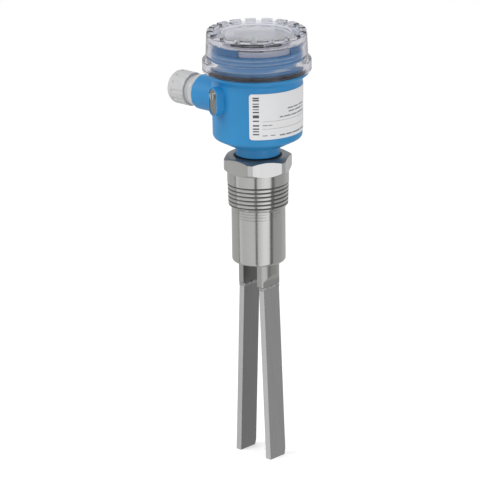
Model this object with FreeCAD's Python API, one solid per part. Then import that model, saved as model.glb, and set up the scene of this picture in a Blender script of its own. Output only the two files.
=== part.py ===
import FreeCAD, Part

import math
import os

from FreeCAD import Vector

# Tuning fork level switch for tanks and silos, in millimetres.
# Origin: on the sensor axis, at the underside of the hexagon, where the process thread begins.
# +Z runs up the axis to the cover. The tines stand apart along X, and the cable gland points along -X.

# Rounds and gaps that many pieces share
FINE_ROUND = 0.6
SOFT_ROUND = 1.5
SEAT = 0.05
LOOSE = 0.3

# Process connection: hexagon, shank, tapered thread and sensor tube, turned from one bar
HEX_FLATS = 50.0
HEX_TURNED_DIAMETER = 55.4
HEX_HEIGHT = 12.5
HEX_TOP_FACE_DIAMETER = 48.4
HEX_CHAMFER_DEG = 30.0
HEX_LOWER_CHAMFER = 2.2
SHANK_DIAMETER = 49.2
SHANK_LENGTH = 10.7
THREAD_DIAMETER = 48.8
THREAD_LENGTH = 16.8
THREAD_TAPER = 1.0 / 16.0
TUBE_DIAMETER = 43.0
TUBE_END_DEPTH = 75.0
TUBE_END_ROUND = 2.4
TUBE_BORE_DIAMETER = 35.0
TUBE_BORE_START = 4.0
STEM_BORE_DIAMETER = 18.0

# Swivel between the sensor and the housing
SPIGOT_DIAMETER = 26.0
SPIGOT_STAND_OUT = 2.0
RECESS_DIAMETER = 38.4
RECESS_DEPTH = 4.0
SWIVEL_CLEARANCE = 0.06
SWIVEL_NUT_DIAMETER = 36.0
SWIVEL_NUT_HEIGHT = 4.5
SWIVEL_NUT_SLOT = 3.0
SWIVEL_NUT_SLOTS = 4
NECK_GAP = 0.9

# Fork: diaphragm with two stubs, and a flat tine welded under each stub
DIAPHRAGM_THICKNESS = 2.5
CUP_HEIGHT = 9.0
CUP_WALL = 2.5
STUB_DIAMETER = 32.4
STUB_WIDTH = 21.0
STUB_SLOT = 15.0
STUB_LENGTH = 20.0
STUB_FLAT_HEIGHT = 5.0
STUB_SLOPE_HEIGHT = 5.6
TINE_WIDTH = 18.4
TINE_THICKNESS = 5.3
TINE_LENGTH = 145.0
TINE_SPLAY_DEG = 2.3
TINE_TIP_CUT_WIDTH = 1.6
TINE_TIP_CUT_HEIGHT = 5.5
TINE_EDGE_ROUND = 0.5
WELD_GROOVE = 0.8

# Piezo drive inside the tube
DRIVE_STUD_DIAMETER = 6.0
DRIVE_BOSS_DIAMETER = 12.0
DRIVE_BOSS_HEIGHT = 2.0
PIEZO_DIAMETER = 20.0
PIEZO_THICKNESS = 2.0
PIEZO_COUNT = 6
ELECTRODE_THICKNESS = 0.3
ELECTRODE_DIAMETER = 22.0
PRESSURE_RING_THICKNESS = 3.0
DRIVE_NUT_FLATS = 12.0
DRIVE_NUT_HEIGHT = 5.0
DRIVE_STUD_STAND_OUT = 2.0
FEEDTHROUGH_THICKNESS = 5.0
FEEDTHROUGH_DROP = 12.0
FEEDTHROUGH_PIN_DIAMETER = 1.2
FEEDTHROUGH_PIN_LENGTH = 12.0
FEEDTHROUGH_PIN_CIRCLE = 14.0
FEEDTHROUGH_PINS = 4
LEAD_BUNDLE_DIAMETER = 5.0
PLUG_HEIGHT = 6.0
PLUG_POST_DIAMETER = 4.4
PLUG_POST_LENGTH = 7.0
PLUG_SOCKET_PLAY = 1.0

# Housing: moulded shell with a threaded collar, a gland boss and a pad for the outer ground terminal
NECK_DIAMETER = 35.6
NECK_HEIGHT = 9.2
HOUSING_HEIGHT = 68.2
HOUSING_DIAMETER = 71.0
HOUSING_DRAFT_DEG = 0.5
SHOULDER_DIAMETER = 48.0
SHOULDER_RISE = 6.0
SHOULDER_ROUND = 3.5
HOUSING_WALL = 3.2
FLOOR_THICKNESS = 4.6
FLANGE_STEP = 2.0
FLANGE_THICKNESS = 1.8
FLANGE_FLARE_HEIGHT = 4.2
COLLAR_STEP = 0.2
COLLAR_HEIGHT = 17.8
COLLAR_WALL = 3.0
GUARD_STEP = 1.1
GUARD_HEIGHT = 6.0
GUARD_OPENING_DEG = 77.0
GUARD_OPENING_CENTRE_DEG = -34.5
BOSS_DIAMETER = 28.4
BOSS_STAND_OUT = 23.5
BOSS_DROP = 28.1
BOSS_BORE_DIAMETER = 20.2
PAD_ANGLE_DEG = -102.0
PAD_DROP = 19.2
PAD_WIDTH = 12.0
PAD_HEIGHT = 23.0
PAD_STAND_OUT = 6.8
PAD_RIM = 1.1
PAD_RECESS = 1.6
LEDGE_WIDTH = 2.6
LEDGE_THICKNESS = 3.0
POST_DIAMETER = 8.0
POST_HEIGHT = 14.0

# Nameplate
PLATE_START_DEG = -57.3
PLATE_SWEEP_DEG = 145.0
PLATE_RISE = 11.7
PLATE_HEADROOM = 4.3
PLATE_THICKNESS = 0.3
PLATE_SEAT = 0.2
PLATE_CORNER = 2.5

# Outer ground terminal
GROUND_PLATE_THICKNESS = 1.2
GROUND_PLATE_CLEARANCE = 0.15
GROUND_SCREW_DIAMETER = 6.0
GROUND_SCREW_HEIGHT = 1.6
GROUND_SCREW_RISE = 4.5

# Cable gland
GLAND_FLATS = 25.0
GLAND_TURNED_DIAMETER = 27.2
GLAND_FLANGE_THICKNESS = 4.4
GLAND_STEM_CLEARANCE = 0.2
GLAND_STEM_LENGTH = 13.0
GLAND_BORE_DIAMETER = 15.0
GLAND_THREAD_DIAMETER = 23.0
GLAND_THREAD_LENGTH = 13.0
GLAND_FINGER_LENGTH = 7.5
GLAND_FINGER_DIAMETER = 20.0
GLAND_FINGER_COUNT = 8
GLAND_FINGER_SLOT = 1.6
GASKET_THICKNESS = 0.9
GASKET_DIAMETER = 26.0
GLAND_SEAL_LENGTH = 15.0
CABLE_HOLE_DIAMETER = 9.0
GLAND_NUT_DIAMETER = 27.4
GLAND_NUT_LENGTH = 19.5
GLAND_NUT_GAP = 4.8
GLAND_NUT_WALL = 1.9
GLAND_NUT_MOUTH_DIAMETER = 16.4
GLAND_NUT_FLUTES = 12
GLAND_NUT_FLUTE_DIAMETER = 6.4
GLAND_NUT_FLUTE_DEPTH = 0.45
GLAND_NUT_DOME = 7.0
GLAND_NUT_DOME_ROUND = 5.0

# Cover: clear screw cap with lugs round its top
COVER_GAP = 0.6
COVER_SKIRT_WALL = 4.5
COVER_SKIRT_HEIGHT = 8.6
COVER_SHOULDER = 2.4
COVER_WALL = 3.7
COVER_DRAFT_DEG = 2.0
COVER_HEIGHT = 29.8
COVER_THREAD_GAP = 1.3
COVER_ROOF_THICKNESS = 5.6
WINDOW_DIAMETER = 54.0
WINDOW_RECESS = 1.0
WINDOW_THICKNESS = 3.2
LUG_COUNT = 18
LUG_SHARE = 0.62
LUG_HEIGHT = 2.0
LUG_LENGTH = 5.6
LUG_INSET = 0.5
LUG_ROOT = 0.5
LUG_ROUND = 0.7
COVER_SEAL_WIDTH = 2.6
COVER_SEAL_HEIGHT = 2.8
COVER_SEAL_ROUND = 0.9
COVER_SEAL_FIT = 0.6
COVER_SEAL_CLEARANCE = 0.15

# Electronics insert
STEM_DIAMETER = 40.0
STEM_CLEARANCE = 3.0
DECK_DROP = 9.6
DECK_HEIGHT = 27.0
RIM_HEIGHT = 4.4
RIM_WALL = 1.8
WIRE_SLOT_WIDTH = 14.0
WIRE_SLOT_DEPTH = 11.0
INSERT_SCREW_INSET = 6.2
INSERT_SCREW_HEAD_DIAMETER = 7.0
INSERT_SCREW_HEAD_HEIGHT = 2.4
INSERT_SCREW_SHANK_DIAMETER = 3.6
INSERT_SCREW_GRIP = 8.0
SCREW_SLOT_WIDTH = 1.0
SCREW_SLOT_DEPTH = 0.9
TERMINAL_COUNT = 4
TERMINAL_PITCH = 6.4
TERMINAL_DEPTH = 10.0
TERMINAL_HEIGHT = 5.4
TERMINAL_Y = -11.0
TERMINAL_SCREW_DIAMETER = 3.8
TERMINAL_SCREW_HEIGHT = 1.8
TERMINAL_WELL_DEPTH = 2.2
TERMINAL_WELL_CLEARANCE = 0.2
TERMINAL_WIRE_HOLE_DIAMETER = 2.8
TERMINAL_WIRE_HOLE_DEPTH = 2.4
TERMINAL_WIRE_HOLE_RISE = 2.0
LED_DIAMETER = 3.0
LED_HEIGHT = 2.6
LED_PITCH = 6.0
LED_X = -13.0
LED_Y = 10.0
SWITCH_X = 9.0
SWITCH_Y = 10.0
SWITCH_LENGTH = 10.4
SWITCH_WIDTH = 8.0
SWITCH_HEIGHT = 3.0
SLIDER_SLOT_LENGTH = 4.6
SLIDER_SLOT_WIDTH = 1.9
SLIDER_SLOT_DEPTH = 1.6
SLIDER_PITCH = 4.4
SLIDER_LENGTH = 2.0
SLIDER_CLEARANCE = 0.2
SLIDER_RISE = 0.9
INNER_CLAMP_WIDTH = 8.0
INNER_CLAMP_LENGTH = 7.0
INNER_CLAMP_HEIGHT = 2.0
INNER_CLAMP_X = 22.5
INNER_SCREW_DIAMETER = 5.0
INNER_SCREW_HEIGHT = 1.8

# Levels up the axis, worked out from the sizes above
RECESS_FLOOR = HEX_HEIGHT - RECESS_DEPTH
THREAD_START = -SHANK_LENGTH
THREAD_END = THREAD_START - THREAD_LENGTH
TUBE_END = -TUBE_END_DEPTH
STUB_END = TUBE_END - STUB_LENGTH
TINE_END = STUB_END - TINE_LENGTH
FEEDTHROUGH_BOTTOM = -TUBE_BORE_START - FEEDTHROUGH_DROP
NECK_BOTTOM = HEX_HEIGHT + NECK_GAP
NECK_TOP = NECK_BOTTOM + NECK_HEIGHT
SHOULDER_TOP = NECK_TOP + SHOULDER_RISE
HOUSING_FLOOR = NECK_TOP + FLOOR_THICKNESS
SWIVEL_NUT_BOTTOM = HOUSING_FLOOR + LOOSE
SPIGOT_TOP = SWIVEL_NUT_BOTTOM + SWIVEL_NUT_HEIGHT + SPIGOT_STAND_OUT
HOUSING_TOP = NECK_BOTTOM + HOUSING_HEIGHT
FLARE_START = HOUSING_TOP - FLANGE_THICKNESS - FLANGE_FLARE_HEIGHT
COLLAR_TOP = HOUSING_TOP + COLLAR_HEIGHT
GUARD_TOP = COLLAR_TOP + GUARD_HEIGHT
BOSS_Z = HOUSING_TOP - BOSS_DROP
PAD_Z = HOUSING_TOP - PAD_DROP
PLATE_BOTTOM = NECK_TOP + PLATE_RISE
PLATE_TOP = FLARE_START - PLATE_HEADROOM
DECK_BOTTOM = HOUSING_TOP - DECK_DROP
DECK_TOP = DECK_BOTTOM + DECK_HEIGHT
LEDGE_TOP = DECK_BOTTOM - SEAT
STEM_BOTTOM = SPIGOT_TOP + STEM_CLEARANCE
COVER_BOTTOM = HOUSING_TOP + COVER_GAP
COVER_TOP = COVER_BOTTOM + COVER_HEIGHT

# Reaches of what stands out from the housing, as distances from the sensor axis
PAD_REACH = HOUSING_DIAMETER / 2 + PAD_STAND_OUT
BOSS_REACH = HOUSING_DIAMETER / 2 + BOSS_STAND_OUT
GLAND_FACE = BOSS_REACH + GASKET_THICKNESS
GLAND_THREAD_START = GLAND_FACE + GLAND_FLANGE_THICKNESS
GLAND_FINGER_START = GLAND_THREAD_START + GLAND_THREAD_LENGTH
GLAND_FINGER_END = GLAND_FINGER_START + GLAND_FINGER_LENGTH
GLAND_NUT_START = GLAND_THREAD_START + GLAND_NUT_GAP
GLAND_NUT_END = GLAND_NUT_START + GLAND_NUT_LENGTH

# Radii that follow from what a piece fits
COLLAR_RADIUS = HOUSING_DIAMETER / 2 - COLLAR_STEP
COLLAR_BORE_RADIUS = COLLAR_RADIUS - COLLAR_WALL
GUARD_RADIUS = COLLAR_RADIUS - GUARD_STEP
COVER_BORE_RADIUS = COLLAR_RADIUS + COVER_THREAD_GAP
COVER_RADIUS = COVER_BORE_RADIUS + COVER_WALL
COVER_SEAL_INNER = COLLAR_RADIUS + COVER_SEAL_FIT
COVER_SEAL_OUTER = COVER_SEAL_INNER + COVER_SEAL_WIDTH
COVER_SKIRT_RADIUS = COVER_SEAL_OUTER + COVER_SKIRT_WALL
FLANGE_RADIUS = COVER_SKIRT_RADIUS - FLANGE_STEP
DECK_RADIUS = COLLAR_BORE_RADIUS - LOOSE
INSERT_SCREW_OFFSET = DECK_RADIUS - INSERT_SCREW_INSET
TINE_INNER = STUB_SLOT / 2 + WELD_GROOVE / 2

Z_AXIS = Vector(0, 0, 1)
ORIGIN = Vector(0, 0, 0)


def rounded_corner(before, corner, after):
    """Start, middle and end of the arc that rounds a corner (u, v, radius) between its two neighbours."""
    at = Vector(corner[0], corner[1], 0)
    to_before = (Vector(before[0], before[1], 0) - at).normalize()
    to_after = (Vector(after[0], after[1], 0) - at).normalize()
    half = to_before.getAngle(to_after) / 2
    reach = corner[2] / math.tan(half)
    bisector = (to_before + to_after).normalize()
    centre = at + bisector * (corner[2] / math.sin(half))
    return at + to_before * reach, centre - bisector * corner[2], at + to_after * reach


def outline(points, place):
    """A closed wire through points (u, v), rounded where a point is (u, v, radius)."""
    stations = []
    for i, point in enumerate(points):
        if len(point) == 3:
            stations.append(rounded_corner(points[i - 1], point, points[(i + 1) % len(points)]))
        else:
            stations.append((Vector(point[0], point[1], 0),))
    edges = []
    for i, station in enumerate(stations):
        if len(station) == 3:
            edges.append(Part.Arc(*[place(p.x, p.y) for p in station]).toShape())
        start, end = station[-1], stations[(i + 1) % len(stations)][0]
        if (start - end).Length > 1e-6:
            edges.append(Part.LineSegment(place(start.x, start.y), place(end.x, end.y)).toShape())
    return Part.Wire(edges)


def face(points, place):
    """A flat face inside an outline."""
    return Part.Face(outline(points, place))


def turned(points, degrees=360.0):
    """The solid swept about Z by a section of points (radius, height)."""
    return face(points, lambda r, z: Vector(r, 0, z)).revolve(ORIGIN, Z_AXIS, degrees)


def rod(diameter, height, x, y, z):
    """An upright cylinder standing on z."""
    return Part.makeCylinder(diameter / 2, height, Vector(x, y, z))


def washer(diameter, hole, height, z):
    """A flat ring on the Z axis, standing on z."""
    return rod(diameter, height, 0, 0, z).cut(rod(hole, height, 0, 0, z))


def block(x, y, z, length, width, height):
    """A box centred on x and y, standing on z."""
    return Part.makeBox(length, width, height, Vector(x - length / 2, y - width / 2, z))


def turn(shape, degrees):
    """A copy of a shape, turned about the Z axis."""
    copy = shape.copy()
    copy.rotate(ORIGIN, Z_AXIS, degrees)
    return copy


def around(shape, count):
    """Copies of a shape, evenly spaced about the Z axis."""
    return [turn(shape, 360.0 * i / count) for i in range(count)]


def hexagon(flats, height, z):
    """A hexagonal prism on the Z axis, with two of its flats facing along Y."""
    corner = flats / 2 / math.cos(math.radians(30))
    angles = [math.radians(60 * i) for i in range(6)]
    points = [(corner * math.cos(a), corner * math.sin(a)) for a in angles]
    return face(points, lambda x, y: Vector(x, y, z)).extrude(Vector(0, 0, height))


def slotted_screw(diameter, height, x, y, z):
    """A round screw head with a straight slot, standing on z."""
    slot = block(x, y, z + height - SCREW_SLOT_DEPTH, 2 * diameter, SCREW_SLOT_WIDTH, SCREW_SLOT_DEPTH)
    return rod(diameter, height, x, y, z).cut(slot)


def on_gland_axis(shape):
    """Lays a shape built upright, with Z as the distance from the sensor axis, along the gland's axis."""
    copy = shape.copy()
    copy.rotate(ORIGIN, Vector(0, 1, 0), -90)
    copy.translate(Vector(0, 0, BOSS_Z))
    return copy


def housing_radius(z):
    """Outer radius of the drafted housing wall at a height."""
    return HOUSING_DIAMETER / 2 + (z - SHOULDER_TOP) * math.tan(math.radians(HOUSING_DRAFT_DEG))


def process_connection():
    """Hexagon with a spigot above it and the threaded tube below, bored through."""
    turned_radius = HEX_TURNED_DIAMETER / 2
    top_face = HEX_TOP_FACE_DIAMETER / 2
    chamfer_drop = (turned_radius - top_face) * math.tan(math.radians(HEX_CHAMFER_DEG))
    thread_radius = THREAD_DIAMETER / 2
    thread_end_radius = thread_radius - THREAD_LENGTH * THREAD_TAPER / 2
    tube_radius = TUBE_DIAMETER / 2
    body = turned([
        (STEM_BORE_DIAMETER / 2, SPIGOT_TOP),
        (SPIGOT_DIAMETER / 2, SPIGOT_TOP),
        (SPIGOT_DIAMETER / 2, RECESS_FLOOR),
        (RECESS_DIAMETER / 2, RECESS_FLOOR),
        (RECESS_DIAMETER / 2, HEX_HEIGHT),
        (top_face, HEX_HEIGHT),
        (turned_radius, HEX_HEIGHT - chamfer_drop),
        (turned_radius, HEX_LOWER_CHAMFER),
        (HEX_FLATS / 2, 0),
        (SHANK_DIAMETER / 2, 0),
        (SHANK_DIAMETER / 2, THREAD_START),
        (thread_radius, THREAD_START),
        (thread_end_radius, THREAD_END),
        (tube_radius, THREAD_END - (thread_end_radius - tube_radius)),
        (tube_radius, TUBE_END, TUBE_END_ROUND),
        (TUBE_BORE_DIAMETER / 2, TUBE_END),
        (TUBE_BORE_DIAMETER / 2, -TUBE_BORE_START),
        (STEM_BORE_DIAMETER / 2, -TUBE_BORE_START),
    ])
    ring = rod(2 * HEX_TURNED_DIAMETER, HEX_HEIGHT, 0, 0, 0)
    return body.cut(ring.cut(hexagon(HEX_FLATS, HEX_HEIGHT, 0)))


def neck_seal():
    """Rubber ring in the hexagon's recess, under the housing's neck."""
    inner = SPIGOT_DIAMETER / 2 + SEAT
    outer = RECESS_DIAMETER / 2 - LOOSE
    top = NECK_BOTTOM - LOOSE
    return turned([
        (inner, RECESS_FLOOR),
        (outer, RECESS_FLOOR),
        (outer, top, FINE_ROUND),
        (inner, top),
    ])


def swivel_nut():
    """Slotted round nut on the spigot, which keeps the housing on and lets it turn."""
    height = SWIVEL_NUT_HEIGHT
    nut = washer(SWIVEL_NUT_DIAMETER, SPIGOT_DIAMETER + 2 * SEAT, height, SWIVEL_NUT_BOTTOM)
    slot = block(SWIVEL_NUT_DIAMETER / 2, 0, SWIVEL_NUT_BOTTOM, SWIVEL_NUT_SLOT, SWIVEL_NUT_SLOT, height)
    return nut.cut(around(slot, SWIVEL_NUT_SLOTS))


def stub():
    """The stub on the +X side: a slice of a round bar whose back slopes off to the tine's thickness."""
    round_bar = rod(STUB_DIAMETER, STUB_LENGTH, 0, 0, STUB_END)
    slab = block(STUB_SLOT / 2 + STUB_DIAMETER / 2, 0, STUB_END, STUB_DIAMETER, STUB_WIDTH, STUB_LENGTH)
    flat = TINE_INNER + TINE_THICKNESS
    slope_start = STUB_END + STUB_FLAT_HEIGHT
    slope_end = slope_start + STUB_SLOPE_HEIGHT
    waste = face([
        (flat, STUB_END),
        (flat, slope_start),
        (STUB_DIAMETER / 2, slope_end),
        (STUB_DIAMETER, slope_end),
        (STUB_DIAMETER, STUB_END),
    ], lambda x, z: Vector(x, -STUB_WIDTH, z)).extrude(Vector(0, 2 * STUB_WIDTH, 0))
    body = round_bar.common(slab).cut(waste)
    lowest = [edge for edge in body.Edges if edge.BoundBox.ZMax < STUB_END + SEAT]
    return body.makeChamfer(WELD_GROOVE, lowest)


def fork_base():
    """Diaphragm with its cup above and both stubs below."""
    cup_radius = TUBE_BORE_DIAMETER / 2 - SEAT
    cup_top = TUBE_END + CUP_HEIGHT
    floor = TUBE_END + DIAPHRAGM_THICKNESS
    boss = DRIVE_BOSS_DIAMETER / 2
    cup = turned([
        (0, TUBE_END),
        (cup_radius, TUBE_END),
        (cup_radius, cup_top),
        (cup_radius - CUP_WALL, cup_top),
        (cup_radius - CUP_WALL, floor, SOFT_ROUND),
        (boss, floor),
        (boss, floor + DRIVE_BOSS_HEIGHT),
        (0, floor + DRIVE_BOSS_HEIGHT),
    ])
    return cup.fuse(around(stub(), 2)).removeSplitter()


def tine_section(inset, drop):
    """The tine's rounded section at a distance below the stub, drawn smaller by an inset."""
    lean = drop * math.tan(math.radians(TINE_SPLAY_DEG))
    inner = TINE_INNER + lean + inset
    outer = TINE_INNER + TINE_THICKNESS + lean - inset
    half = TINE_WIDTH / 2 - inset
    corners = [(inner, -half), (outer, -half), (outer, half), (inner, half)]
    points = [(x, y, TINE_EDGE_ROUND) for x, y in corners]
    return outline(points, lambda x, y: Vector(x, y, STUB_END - SEAT - drop))


def tine():
    """The flat tine under the +X stub, which leans away from the axis on its way down."""
    bevel = Part.makeLoft([tine_section(WELD_GROOVE, 0), tine_section(0, WELD_GROOVE)], True)
    blade = Part.makeLoft([tine_section(0, WELD_GROOVE), tine_section(0, TINE_LENGTH)], True)
    half = TINE_WIDTH / 2
    tip = TINE_END - SEAT
    corner = face([
        (half, tip + TINE_TIP_CUT_HEIGHT),
        (half - TINE_TIP_CUT_WIDTH, tip),
        (half, tip),
    ], lambda y, z: Vector(0, y, z)).extrude(Vector(STUB_DIAMETER, 0, 0))
    return bevel.fuse(blade).removeSplitter().cut(corner)


def mirrored(shape):
    """The shape's twin on the -X side."""
    return shape.mirror(ORIGIN, Vector(1, 0, 0))


def drive():
    """The piezo stack that drives and senses the diaphragm, clamped by a stud: its pieces by name."""
    start = TUBE_END + DIAPHRAGM_THICKNESS + DRIVE_BOSS_HEIGHT
    hole = DRIVE_STUD_DIAMETER + 2 * LOOSE
    level = start
    lower_ring = washer(PIEZO_DIAMETER, hole, PRESSURE_RING_THICKNESS, level)
    level += PRESSURE_RING_THICKNESS
    rings = []
    electrodes = []
    for _ in range(PIEZO_COUNT):
        electrodes.append(washer(ELECTRODE_DIAMETER, hole, ELECTRODE_THICKNESS, level))
        level += ELECTRODE_THICKNESS
        rings.append(washer(PIEZO_DIAMETER, hole, PIEZO_THICKNESS, level))
        level += PIEZO_THICKNESS
    upper_ring = washer(PIEZO_DIAMETER, hole, PRESSURE_RING_THICKNESS, level)
    level += PRESSURE_RING_THICKNESS
    nut_bore = rod(DRIVE_STUD_DIAMETER + 2 * SEAT, DRIVE_NUT_HEIGHT, 0, 0, level)
    nut = hexagon(DRIVE_NUT_FLATS, DRIVE_NUT_HEIGHT, level).cut(nut_bore)
    stud_length = level + DRIVE_NUT_HEIGHT + DRIVE_STUD_STAND_OUT - start
    return {
        "drive_stud": rod(DRIVE_STUD_DIAMETER, stud_length, 0, 0, start),
        "pressure_rings": Part.Compound([lower_ring, upper_ring]),
        "piezo_rings": Part.Compound(rings),
        "electrode_plates": Part.Compound(electrodes),
        "drive_nut": nut,
    }


def feedthrough():
    """Glass disc across the tube, which keeps the process out of the housing."""
    disc = rod(TUBE_BORE_DIAMETER - 2 * SEAT, FEEDTHROUGH_THICKNESS, 0, 0, FEEDTHROUGH_BOTTOM)
    hole = rod(FEEDTHROUGH_PIN_DIAMETER + 2 * SEAT, FEEDTHROUGH_THICKNESS,
               FEEDTHROUGH_PIN_CIRCLE / 2, 0, FEEDTHROUGH_BOTTOM)
    return disc.cut(around(hole, FEEDTHROUGH_PINS))


def feedthrough_pins():
    z = FEEDTHROUGH_BOTTOM + (FEEDTHROUGH_THICKNESS - FEEDTHROUGH_PIN_LENGTH) / 2
    pin = rod(FEEDTHROUGH_PIN_DIAMETER, FEEDTHROUGH_PIN_LENGTH, FEEDTHROUGH_PIN_CIRCLE / 2, 0, z)
    return Part.Compound(around(pin, FEEDTHROUGH_PINS))


def sensor_leads():
    """The bundled leads from the feedthrough up the stem to the plug."""
    z = FEEDTHROUGH_BOTTOM + FEEDTHROUGH_THICKNESS
    return rod(LEAD_BUNDLE_DIAMETER, SPIGOT_TOP - PLUG_HEIGHT - z, 0, 0, z)


def sensor_plug():
    """The plug in the top of the spigot, with one contact post on the swivel axis."""
    z = SPIGOT_TOP - PLUG_HEIGHT
    body = rod(STEM_BORE_DIAMETER - 2 * SEAT, PLUG_HEIGHT, 0, 0, z)
    return body.fuse(rod(PLUG_POST_DIAMETER, PLUG_HEIGHT + PLUG_POST_LENGTH, 0, 0, z)).removeSplitter()


def on_pad(start, length, margin):
    """A solid of the ground pad's upright slot shape, from a radius outwards, turned to its place."""
    half = PAD_WIDTH / 2 - margin
    reach = PAD_HEIGHT / 2 - margin
    corner = half - SEAT
    corners = [(-half, -reach), (half, -reach), (half, reach), (-half, reach)]
    section = face([(y, PAD_Z + z, corner) for y, z in corners], lambda y, z: Vector(start, y, z))
    return turn(section.extrude(Vector(length, 0, 0)), PAD_ANGLE_DEG)


def housing_outside():
    """The housing's outer form, closed inside."""
    body = turned([
        (0, NECK_BOTTOM),
        (NECK_DIAMETER / 2, NECK_BOTTOM, FINE_ROUND),
        (NECK_DIAMETER / 2, NECK_TOP),
        (SHOULDER_DIAMETER / 2, NECK_TOP),
        (housing_radius(SHOULDER_TOP), SHOULDER_TOP, SHOULDER_ROUND),
        (housing_radius(FLARE_START), FLARE_START, SOFT_ROUND),
        (FLANGE_RADIUS, HOUSING_TOP - FLANGE_THICKNESS, FINE_ROUND),
        (FLANGE_RADIUS, HOUSING_TOP, FINE_ROUND),
        (COLLAR_RADIUS, HOUSING_TOP),
        (COLLAR_RADIUS, COLLAR_TOP, FINE_ROUND),
        (GUARD_RADIUS, COLLAR_TOP),
        (GUARD_RADIUS, GUARD_TOP, FINE_ROUND),
        (0, GUARD_TOP),
    ])
    boss = on_gland_axis(rod(BOSS_DIAMETER, BOSS_REACH, 0, 0, 0))
    pad = on_pad(COLLAR_BORE_RADIUS, PAD_REACH - COLLAR_BORE_RADIUS, 0)
    return body.fuse([boss, pad]).removeSplitter()


def insert_posts():
    """The two bosses under the ledge that take the insert's screws, each tied to the wall by a rib."""
    bottom = LEDGE_TOP - POST_HEIGHT
    post = rod(POST_DIAMETER, POST_HEIGHT, 0, INSERT_SCREW_OFFSET, bottom)
    rib_end = housing_radius(bottom) - HOUSING_WALL / 2
    rib_length = rib_end - INSERT_SCREW_OFFSET
    rib = block(0, INSERT_SCREW_OFFSET + rib_length / 2, bottom, POST_DIAMETER, rib_length, POST_HEIGHT)
    depth = INSERT_SCREW_GRIP + 2 * LOOSE
    hole = rod(INSERT_SCREW_SHANK_DIAMETER + 2 * SEAT, depth, 0, INSERT_SCREW_OFFSET, LEDGE_TOP - depth)
    return around(post.fuse(rib).cut(hole), 2)


def housing():
    """Moulded shell: floor, wall with an inner ledge, collar and the guard that stands on it."""
    ledge = COLLAR_BORE_RADIUS - LEDGE_WIDTH
    ledge_bottom = LEDGE_TOP - LEDGE_THICKNESS
    cavity = turned([
        (0, HOUSING_FLOOR),
        (housing_radius(SHOULDER_TOP) - HOUSING_WALL, HOUSING_FLOOR, SOFT_ROUND),
        (housing_radius(ledge_bottom) - HOUSING_WALL, ledge_bottom - LEDGE_WIDTH),
        (ledge, ledge_bottom),
        (ledge, LEDGE_TOP),
        (COLLAR_BORE_RADIUS, LEDGE_TOP),
        (COLLAR_BORE_RADIUS, GUARD_TOP),
        (0, GUARD_TOP),
    ])
    spigot_bore = rod(SPIGOT_DIAMETER + 2 * SWIVEL_CLEARANCE, HOUSING_FLOOR, 0, 0, 0)
    gland_bore = on_gland_axis(rod(BOSS_BORE_DIAMETER, BOSS_REACH, 0, 0, 0))
    recess = on_pad(PAD_REACH - PAD_RECESS, PAD_RECESS, PAD_RIM)
    opening = turned([
        (COLLAR_BORE_RADIUS - SOFT_ROUND, COLLAR_TOP),
        (GUARD_RADIUS + SOFT_ROUND, COLLAR_TOP),
        (GUARD_RADIUS + SOFT_ROUND, GUARD_TOP),
        (COLLAR_BORE_RADIUS - SOFT_ROUND, GUARD_TOP),
    ], GUARD_OPENING_DEG)
    openings = around(turn(opening, GUARD_OPENING_CENTRE_DEG - GUARD_OPENING_DEG / 2), 2)
    shell = housing_outside().cut([cavity, spigot_bore, gland_bore, recess] + openings)
    return shell.fuse(insert_posts()).removeSplitter()


def plate_corner_waste(edge_deg, inward, z, upward):
    """What lies outside one round corner of the nameplate."""
    centre_y = inward * PLATE_CORNER
    centre_z = z + upward * PLATE_CORNER
    bottom = min(z, centre_z)
    depth = 2 * PLATE_CORNER
    square = block(HOUSING_DIAMETER / 2, centre_y / 2, bottom, depth, PLATE_CORNER, PLATE_CORNER)
    hole = Part.makeCylinder(PLATE_CORNER, HOUSING_DIAMETER, Vector(0, centre_y, centre_z), Vector(1, 0, 0))
    return turn(square.cut(hole), edge_deg)


def nameplate():
    """Thin plate bent round the housing wall, with round corners."""
    low_radius = housing_radius(PLATE_BOTTOM) + PLATE_SEAT
    high_radius = housing_radius(PLATE_TOP) + PLATE_SEAT
    sheet = turned([
        (low_radius, PLATE_BOTTOM),
        (low_radius + PLATE_THICKNESS, PLATE_BOTTOM),
        (high_radius + PLATE_THICKNESS, PLATE_TOP),
        (high_radius, PLATE_TOP),
    ], PLATE_SWEEP_DEG)
    waste = []
    for edge_deg, inward in ((0, 1), (PLATE_SWEEP_DEG, -1)):
        for z, upward in ((PLATE_BOTTOM, 1), (PLATE_TOP, -1)):
            waste.append(plate_corner_waste(edge_deg, inward, z, upward))
    return turn(sheet.cut(waste), PLATE_START_DEG)


def ground_plate():
    """Clamp plate of the outer ground terminal, set in the pad's recess."""
    return on_pad(PAD_REACH - PAD_RECESS, GROUND_PLATE_THICKNESS, PAD_RIM + GROUND_PLATE_CLEARANCE)


def ground_screw():
    """Slotted screw in the upper half of the ground plate."""
    head = slotted_screw(GROUND_SCREW_DIAMETER, GROUND_SCREW_HEIGHT, 0, 0, 0)
    head.rotate(ORIGIN, Vector(0, 1, 0), 90)
    seat = PAD_REACH - PAD_RECESS + GROUND_PLATE_THICKNESS
    head.translate(Vector(seat, 0, PAD_Z + GROUND_SCREW_RISE))
    return turn(head, PAD_ANGLE_DEG)


def gland_gasket():
    hole = BOSS_BORE_DIAMETER - 2 * GLAND_STEM_CLEARANCE + 2 * SEAT
    return on_gland_axis(washer(GASKET_DIAMETER, hole, GASKET_THICKNESS, BOSS_REACH))


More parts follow.
